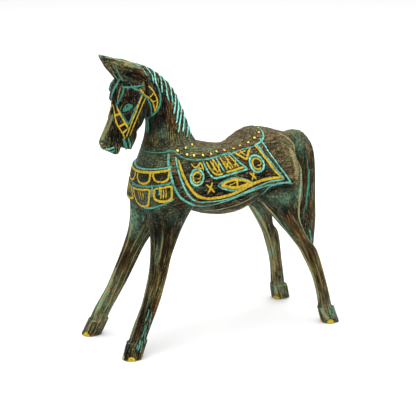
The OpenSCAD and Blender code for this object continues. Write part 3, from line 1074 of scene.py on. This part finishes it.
def carve_and_paint():
    for carve_part in PARTS:
        carve_part()
    ridges, tone = facet_legs()
    carve()
    skin.vertices.foreach_set("co", P.ravel())
    skin.update()
    bend = bends()
    dark = spread(DARK_BODY_PATCHES, DARK_LEG_PATCHES)[:, 0]
    worn = np.maximum(np.maximum(ridges, rubbed), smoothstep(0.06, 0.25, bend))
    # Painted shade in the hollows, where the skin bends inwards, together with the dark ridges of the legs
    dark_ridges_and_hollow_shade = np.maximum(-ridges, smoothstep(-0.04, -0.22, bend))
    values = (grain_places(), gold, teal, bright, patina(tone, dark), worn, dark_ridges_and_hollow_shade, pale_paint_and_top_light(), dark)
    for field, value in zip(PAINT_FIELDS, values):
        store(field, value)
    store("skin", np.ones(len(P)))


# ---- materials

class Shader:
    """A procedural material, built node by node."""

    def __init__(self, name):
        self.material = bpy.data.materials.new(name)
        self.material.use_nodes = True
        self.tree = self.material.node_tree

    def connect(self, node, inputs):
        """Links each of a node's inputs to a socket, or sets it to a number or a colour code."""
        for key, value in inputs.items():
            if isinstance(value, bpy.types.NodeSocket):
                self.tree.links.new(value, node.inputs[key])
            else:
                node.inputs[key].default_value = colour(value) if isinstance(value, str) else value

    def finished(self, inputs):
        """The material, with its shader's inputs connected."""
        self.connect(self.tree.nodes["Principled BSDF"], inputs)
        return self.material

    def node(self, kind, inputs, **settings):
        """The outputs of a new node."""
        made = self.tree.nodes.new("ShaderNode" + kind)
        for key, value in settings.items():
            setattr(made, key, value)
        self.connect(made, inputs)
        return made.outputs

    def attribute(self, name, output="Fac"):
        return self.node("Attribute", {}, attribute_name=name)[output]

    def maths(self, operation, a, b):
        return self.node("Math", {0: a, 1: b}, operation=operation)[0]

    def times(self, a, b):
        return self.maths("MULTIPLY", a, b)

    def scaled(self, vector, factors):
        return self.node("VectorMath", {0: vector, 1: factors}, operation="MULTIPLY")[0]

    def place(self, along_z=1):
        """Places on the object in millimetres, with Z multiplied by along_z."""
        return self.scaled(self.node("TexCoord", {})["Object"], (1 / MM, 1 / MM, along_z / MM))

    def noise(self, vector, scale, detail, roughness):
        inputs = {"Vector": vector, "Scale": scale, "Detail": detail, "Roughness": roughness}
        return self.node("TexNoise", inputs)["Fac"]

    def fade(self, value, low, high, start=0.0, end=1.0):
        """start where value is at low or beyond, and end where it is at high or beyond."""
        inputs = {"Value": value, "From Min": low, "From Max": high, "To Min": start, "To Max": end}
        return self.node("MapRange", inputs, interpolation_type="SMOOTHSTEP")["Result"]

    def mix(self, factor, a, b):
        return self.node("Mix", {"Factor": factor, 6: a, 7: b}, data_type="RGBA")[2]

    def bump(self, height, distance, **normal):
        inputs = {"Height": height, "Distance": distance, "Strength": 1.0, **normal}
        return self.node("Bump", inputs)["Normal"]


def colour(code):
    """A linear colour from its sRGB hexadecimal code."""
    parts = [int(code[i:i + 2], 16) / 255 for i in (0, 2, 4)]
    return tuple(((c + 0.055) / 1.055) ** 2.4 if c > 0.04 else c / 12.92 for c in parts) + (1.0,)


def painted_wood():
    s = Shader("antiqued_wood")
    grain = s.attribute("grain", "Vector")
    streaked = s.scaled(grain, (1 / GRAIN_STRETCH, 1, 1))
    place = s.place()
    fibres = s.noise(streaked, 0.8, 5, 0.7)
    streaks = s.noise(streaked, 0.24, 4, 0.6)
    blotches = s.noise(place, 0.09, 4, 0.6)
    brush = s.noise(place, 0.4, 3, 0.6)
    speckle = s.noise(place, 1.1, 3, 0.65)
    gold_distance = s.attribute("gold")
    teal_distance = s.attribute("teal")
    tone = s.attribute("bright")
    dark_ridges_and_hollow_shade = s.attribute("dark_ridges_and_hollow_shade")
    green, olive, rust = s.node("SeparateXYZ", {0: s.attribute("patina", "Vector")})

    base = s.mix(s.fade(streaks, 0.4, 0.66), "050403", "20170d")
    base = s.mix(s.fade(fibres, 0.52, 0.7, 0, 0.6), base, "564528")
    base = s.mix(s.times(s.attribute("dark"), 0.9), base, "0a0705")
    rust = s.times(rust, s.fade(streaks, 0.38, 0.62))
    base = s.mix(rust, base, s.mix(s.fade(fibres, 0.4, 0.66), "45260c", "8a5a1c"))
    olive = s.times(olive, s.fade(fibres, 0.38, 0.62))
    base = s.mix(olive, base, s.mix(s.fade(fibres, 0.45, 0.66), "5c5830", "928c52"))
    green = s.times(green, s.fade(blotches, 0.3, 0.6, 0.3, 1.0))
    greens = s.mix(s.fade(brush, 0.34, 0.72), "2f4a3a", "709c80")
    base = s.mix(green, base, greens)
    mottle = s.maths("ADD", fibres, speckle)
    # Painted top light on what faces up, with pale colour on the croup and the pale patches
    pale_paint_and_top_light = s.times(s.attribute("pale_and_top_lit"), s.fade(mottle, 0.88, 1.2, 0.05, 0.75))
    base = s.mix(pale_paint_and_top_light, base, s.mix(s.fade(blotches, 0.4, 0.6), "8a7050", "7c7c58"))
    brushed = s.times(s.attribute("worn"), s.fade(fibres, 0.32, 0.48))
    wear = s.mix(s.fade(blotches, 0.5, 0.64), "a49c68", "82ae8a")
    base = s.mix(s.times(brushed, 0.9), base, wear)
    # Painted shade, near black, in the hollows and on the dark ridges of the legs
    base = s.mix(s.fade(dark_ridges_and_hollow_shade, 0.1, 1.0, 0, 0.85), base, "080604")
    # Painted shade: the wood darkens towards black round the strokes of paint
    nearest_paint = s.maths("MINIMUM", gold_distance, teal_distance)
    base = s.mix(s.fade(nearest_paint, 1.8, 0.4, 0, 0.6), base, "0c0905")
    plain = s.maths("SUBTRACT", 1.0, s.attribute("dark"))
    base = s.mix(s.times(plain, s.fade(mottle, 1.08, 1.3, 0, 0.8)), base, "b2aa84")
    pits = s.times(s.fade(speckle, 0.46, 0.32, 0, 0.7), s.fade(green, 0, 1, 1, 0.35))
    base = s.mix(pits, base, "080604")

    wobble = s.maths("ADD", s.fade(brush, 0.3, 0.7, -0.25, 0.25), s.fade(speckle, 0.3, 0.7, -0.12, 0.12))
    teal_mask = s.fade(s.maths("ADD", teal_distance, wobble), 0.25, -0.25)
    teal_mask = s.times(teal_mask, s.fade(brush, 0.6, 0.72, 1.0, 0.5))
    light = s.times(s.times(tone, tone), s.fade(fibres, 0.35, 0.66, 0.4, 1.5))
    teals = s.mix(light, "2b705c", "94ead8")
    teals = s.mix(s.fade(blotches, 0.48, 0.64, 0, 0.5), teals, "1a4f40")
    painted = s.mix(teal_mask, base, teals)

    gold_mask = s.fade(s.maths("ADD", gold_distance, wobble), 0.15, -0.2)
    golds = s.mix(s.fade(speckle, 0.34, 0.66), "a08322", "dcc03c")
    golds = s.mix(s.fade(brush, 0.48, 0.66, 0, 0.65), golds, "8a6414")
    # Painted shade at the edges of the gold strokes, as on a rounded bead
    golds = s.mix(s.fade(gold_distance, -0.5, 0.1, 0, 0.45), golds, "5c4c12")
    # Painted shade on the gold in the hollows
    golds = s.mix(s.fade(dark_ridges_and_hollow_shade, 0.2, 1.0, 0, 0.5), golds, "4e3c0e")
    golds = s.mix(s.fade(tone, 0.85, 0.95, 0, 0.85), golds, "ecdc62")
    painted = s.mix(gold_mask, painted, golds)

    rough = s.fade(fibres, 0.3, 0.7, 0.45, 0.65)
    raised_paint = s.maths("ADD", gold_mask, s.times(teal_mask, 0.5))
    return s.finished({
        "Base Color": painted,
        "Roughness": s.maths("SUBTRACT", rough, s.times(gold_mask, 0.1)),
        "Specular IOR Level": 0.03,
        "Sheen Weight": 0.1,
        "Sheen Roughness": 0.3,
        "Normal": s.bump(raised_paint, 0.25 * MM, Normal=s.bump(fibres, 0.5 * MM)),
    })


def bare_wood():
    """Pale close-grained wood, for the dowels and the glued faces."""
    s = Shader("bare_wood")
    place = s.place(0.15)
    rings = s.noise(place, 0.5, 5, 0.6)
    pores = s.noise(place, 3.0, 2, 0.5)
    base = s.mix(s.fade(rings, 0.35, 0.65), "b08a58", "d3b07c")
    base = s.mix(s.fade(pores, 0.6, 0.75, 0, 0.5), base, "7d5c34")
    return s.finished({
        "Base Color": base,
        "Roughness": s.fade(rings, 0.3, 0.7, 0.6, 0.75),
        "Specular IOR Level": 0.3,
        "Normal": s.bump(pores, 0.05 * MM),
    })


# ---- sawing the skin into blocks

def space(profile, low_y, high_y):
    """A closed solid of an X and Z outline, from one Y to another."""
    count = len(profile)
    points = [(x, y, z) for y in (low_y, high_y) for x, z in profile]
    faces = [tuple(range(count))[::-1], tuple(range(count, 2 * count))]
    faces += [(i, (i + 1) % count, count + (i + 1) % count, count + i) for i in range(count)]
    mesh = bpy.data.meshes.new("space")
    mesh.from_pydata(points, [], [f[::-1] for f in faces])
    mesh.materials.append(glued_faces)
    return mesh


def bores():
    """All the dowels, a little larger, as one mesh."""
    solids = []
    for name in DOWELS:
        dowel = nodes[name].data
        points, index = np.unique(positions(dowel) / MM, axis=0, return_inverse=True)
        solids.append((points, [index[list(f.vertices)] for f in dowel.polygons]))
    mesh = joined_mesh("bores", solids)
    grown = np.vstack([points for points, _ in solids]) + BORE_GAP * normals(mesh)
    mesh.vertices.foreach_set("co", grown.ravel())
    mesh.materials.append(glued_faces)
    return mesh


def combined(mesh, other, operation):
    """The mesh intersected with another or less it."""
    body = add_object("body", mesh)
    tool = add_object("tool", other)
    boolean = body.modifiers.new("boolean", "BOOLEAN")
    boolean.operation = operation
    boolean.solver = "MANIFOLD"
    boolean.material_mode = "TRANSFER"
    boolean.object = tool
    result = result_of(body)
    bpy.data.objects.remove(tool)
    return result


def heal(mesh):
    """Gives the points that a cut made the paint of the nearest older point."""
    p = positions(mesh)
    old = read(mesh.attributes["skin"].data, "value", 1)[:, 0]
    older, newer = np.flatnonzero(old > 0.5), np.flatnonzero(old <= 0.5)
    tree = kdtree.KDTree(len(older))
    for slot, i in enumerate(older):
        tree.insert(p[i], slot)
    tree.balance()
    source = older[[tree.find(p[i])[1] for i in newer]]
    for name in PAINT_FIELDS:
        attribute = mesh.attributes[name]
        wide = 3 if attribute.data_type == "FLOAT_VECTOR" else 1
        field = "vector" if wide == 3 else "value"
        values = read(attribute.data, field, wide, np.float32)
        values[newer] = values[source]
        attribute.data.foreach_set(field, values.ravel())
    mesh.attributes.remove(mesh.attributes["skin"])


def crumbs(block):
    """The points of the tiny shells that remeshing and sawing leave."""
    found = []
    left = set(block.verts)
    while left:
        shell = [left.pop()]
        for point in shell:
            for edge in point.link_edges:
                other = edge.other_vert(point)
                if other in left:
                    left.remove(other)
                    shell.append(other)
        if len(shell) < CRUMB:
            found += shell
    return found


def cleaned(mesh):
    """Takes out tiny shells, coinciding points and folded faces, and makes the glued faces sharp."""
    block = bmesh.new()
    block.from_mesh(mesh)
    bmesh.ops.dissolve_degenerate(block, dist=SHORTEST, edges=block.edges)
    bmesh.ops.delete(block, geom=crumbs(block), context="VERTS")
    bmesh.ops.remove_doubles(block, verts=block.verts, dist=WELD)
    fins = [face for face in block.faces if any(edge.is_boundary for edge in face.edges)]
    bmesh.ops.delete(block, geom=fins, context="FACES")
    for face in block.faces:
        face.smooth = mesh.materials[face.material_index] != glued_faces
        if not face.smooth:
            for edge in face.edges:
                edge.smooth = False
    block.to_mesh(mesh)
    block.free()
    mesh.validate()


def finished(name, mesh):
    """A block's piece: cleaned, its paint mended, in metres, in place of its CAD node."""
    cleaned(mesh)
    heal(mesh)
    mesh.transform(((MM, 0, 0, 0), (0, MM, 0, 0), (0, 0, MM, 0), (0, 0, 0, 1)))
    piece = add_object("carved_" + name, mesh)
    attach(piece, "root")
    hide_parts(name)


def saw_into_blocks():
    rise = (FAR - HIP_X) * math.tan(math.radians(HIND_SLOPE))
    neck = [
        (-FAR, HEAD_LOW_Z), (HEAD_BACK_X, HEAD_LOW_Z), (HEAD_BACK_X, NECK_Z), (NECK_BACK_X, NECK_Z),
        (NECK_BACK_X, FAR), (-FAR, FAR),
    ]
    front = [(-FAR, -FAR), (SHOULDER_X, -FAR), (SHOULDER_X, FRONT_LEG_Z), (-FAR, FRONT_LEG_Z)]
    hind = [(HIP_X, -FAR), (FAR, -FAR), (FAR, HIND_LEG_Z + rise), (HIP_X, HIND_LEG_Z)]
    tail = [(TAIL_X, TAIL_LOW_Z), (FAR, TAIL_LOW_Z), (FAR, FAR), (TAIL_X, FAR)]
    spaces = {
        "neck_and_head": (neck, -FAR, FAR),
        "tail": (tail, -TAIL_HALF_WIDTH, TAIL_HALF_WIDTH),
        "front_left_leg": (front, -FAR, 0),
        "front_right_leg": (front, 0, FAR),
        "hind_left_leg": (hind, -FAR, 0),
        "hind_right_leg": (hind, 0, FAR),
    }
    skin.materials.append(paint)
    rest = skin
    for name, (profile, low_y, high_y) in spaces.items():
        block = combined(rest.copy(), space(profile, low_y, high_y), "INTERSECT")
        rest = combined(rest, space(profile, low_y, high_y), "DIFFERENCE")
        finished(name, combined(block, bores(), "DIFFERENCE"))
    finished("torso", combined(rest, bores(), "DIFFERENCE"))


# ---- stage

CAMERA_TARGET = (-3.8, 0, 128.5)
CAMERA_AZIMUTH, CAMERA_ELEVATION = -30.9, 15.4
CAMERA_DISTANCE, CAMERA_LENS, CAMERA_SENSOR = 2.0, 169.8, 36
FLOOR_HALF_WIDTH = 8


def add_camera():
    azimuth, elevation = math.radians(CAMERA_AZIMUTH), math.radians(CAMERA_ELEVATION)
    level = math.cos(elevation)
    back = Vector((math.sin(azimuth) * level, -math.cos(azimuth) * level, math.sin(elevation)))
    data = bpy.data.cameras.new("camera")
    data.lens = CAMERA_LENS
    data.sensor_width = CAMERA_SENSOR
    camera = add_object("camera", data)
    camera.location = Vector(CAMERA_TARGET) * MM + CAMERA_DISTANCE * back
    camera.rotation_euler = back.to_track_quat("Z", "Y").to_euler()
    bpy.context.scene.camera = camera


def add_floor():
    half = FLOOR_HALF_WIDTH
    corners = [(-half, -half, 0), (half, -half, 0), (half, half, 0), (-half, half, 0)]
    mesh = bpy.data.meshes.new("floor")
    mesh.from_pydata(corners, [], [(0, 1, 2, 3)])
    pale = {"Base Color": (0.9, 0.9, 0.9, 1), "Roughness": 0.9, "Specular IOR Level": 0.0}
    mesh.materials.append(Shader("pale_floor").finished(pale))
    add_object("floor", mesh)


def add_light(name, place, size, power):
    """A square soft light that faces the horse."""
    data = bpy.data.lights.new(name, "AREA")
    data.size = size
    data.energy = power
    lamp = add_object(name, data)
    lamp.location = place
    aim = Vector((0, 0, 0.15)) - Vector(place)
    lamp.rotation_euler = aim.to_track_quat("-Z", "Y").to_euler()


def add_studio():
    world = bpy.data.worlds.new("studio")
    world.use_nodes = True
    sky = world.node_tree.nodes["Background"]
    sky.inputs["Color"].default_value = (1, 1, 1, 1)
    sky.inputs["Strength"].default_value = 0.6
    bpy.context.scene.world = world
    bpy.context.scene.view_settings.view_transform = "Standard"
    add_light("key", (-0.7, -1.2, 2.7), 2.6, 62)
    add_light("fill", (1.8, -1.4, 1.4), 2.0, 14)
    add_light("top", (0.3, 0.6, 2.4), 1.6, 34)


add_camera()
add_floor()
add_studio()
paint = painted_wood()
glued_faces = bare_wood()
carve_and_paint()
saw_into_blocks()
for name in DOWELS:
    dowel = nodes[name].data
    dowel.materials.clear()
    dowel.materials.append(glued_faces)
